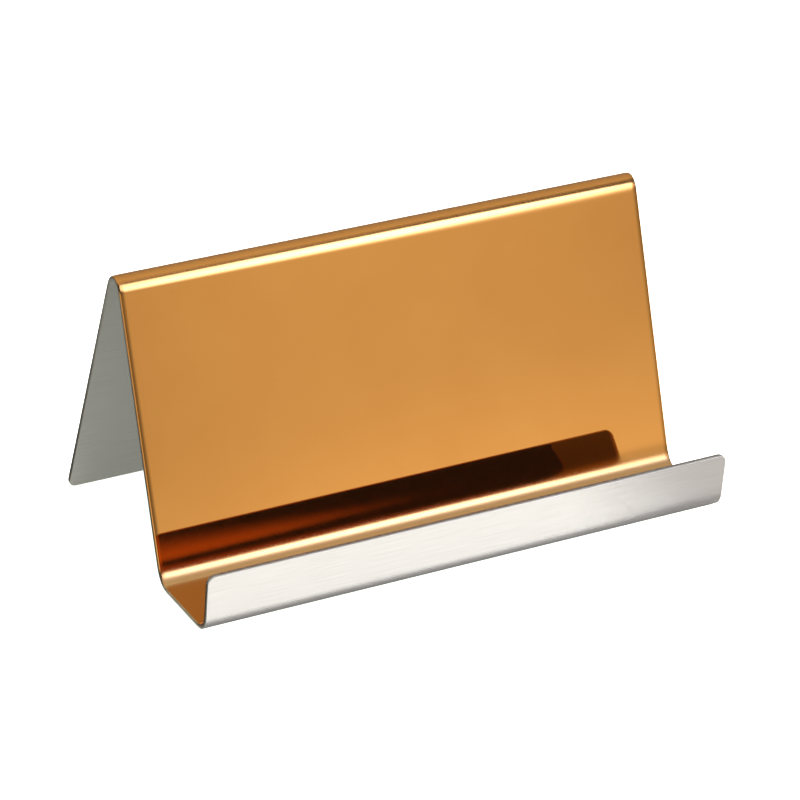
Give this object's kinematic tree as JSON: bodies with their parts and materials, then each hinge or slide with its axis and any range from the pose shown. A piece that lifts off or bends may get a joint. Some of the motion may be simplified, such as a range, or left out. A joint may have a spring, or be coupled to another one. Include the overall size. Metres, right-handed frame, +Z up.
{
  "type": "business card holder",
  "caption": "Desk stand for business cards, folded from one sheet: leaning gold mirror panel, shallow tray with a brushed front lip, and a rear leg.",
  "frame": {"origin": "on the table, under the middle of the stand's bounding box", "axes": "+X along the long side of the cards, -Y towards the front lip, +Z up"},
  "size_m": [0.1, 0.0562, 0.0494],
  "materials": {
    "brushed_stainless": "satin",
    "gold_mirror": "polished"
  },
  "bodies": {
    "root": {"steel_sheet": "brushed_stainless", "gold_coating": "gold_mirror"}
  },
  "joints": []
}
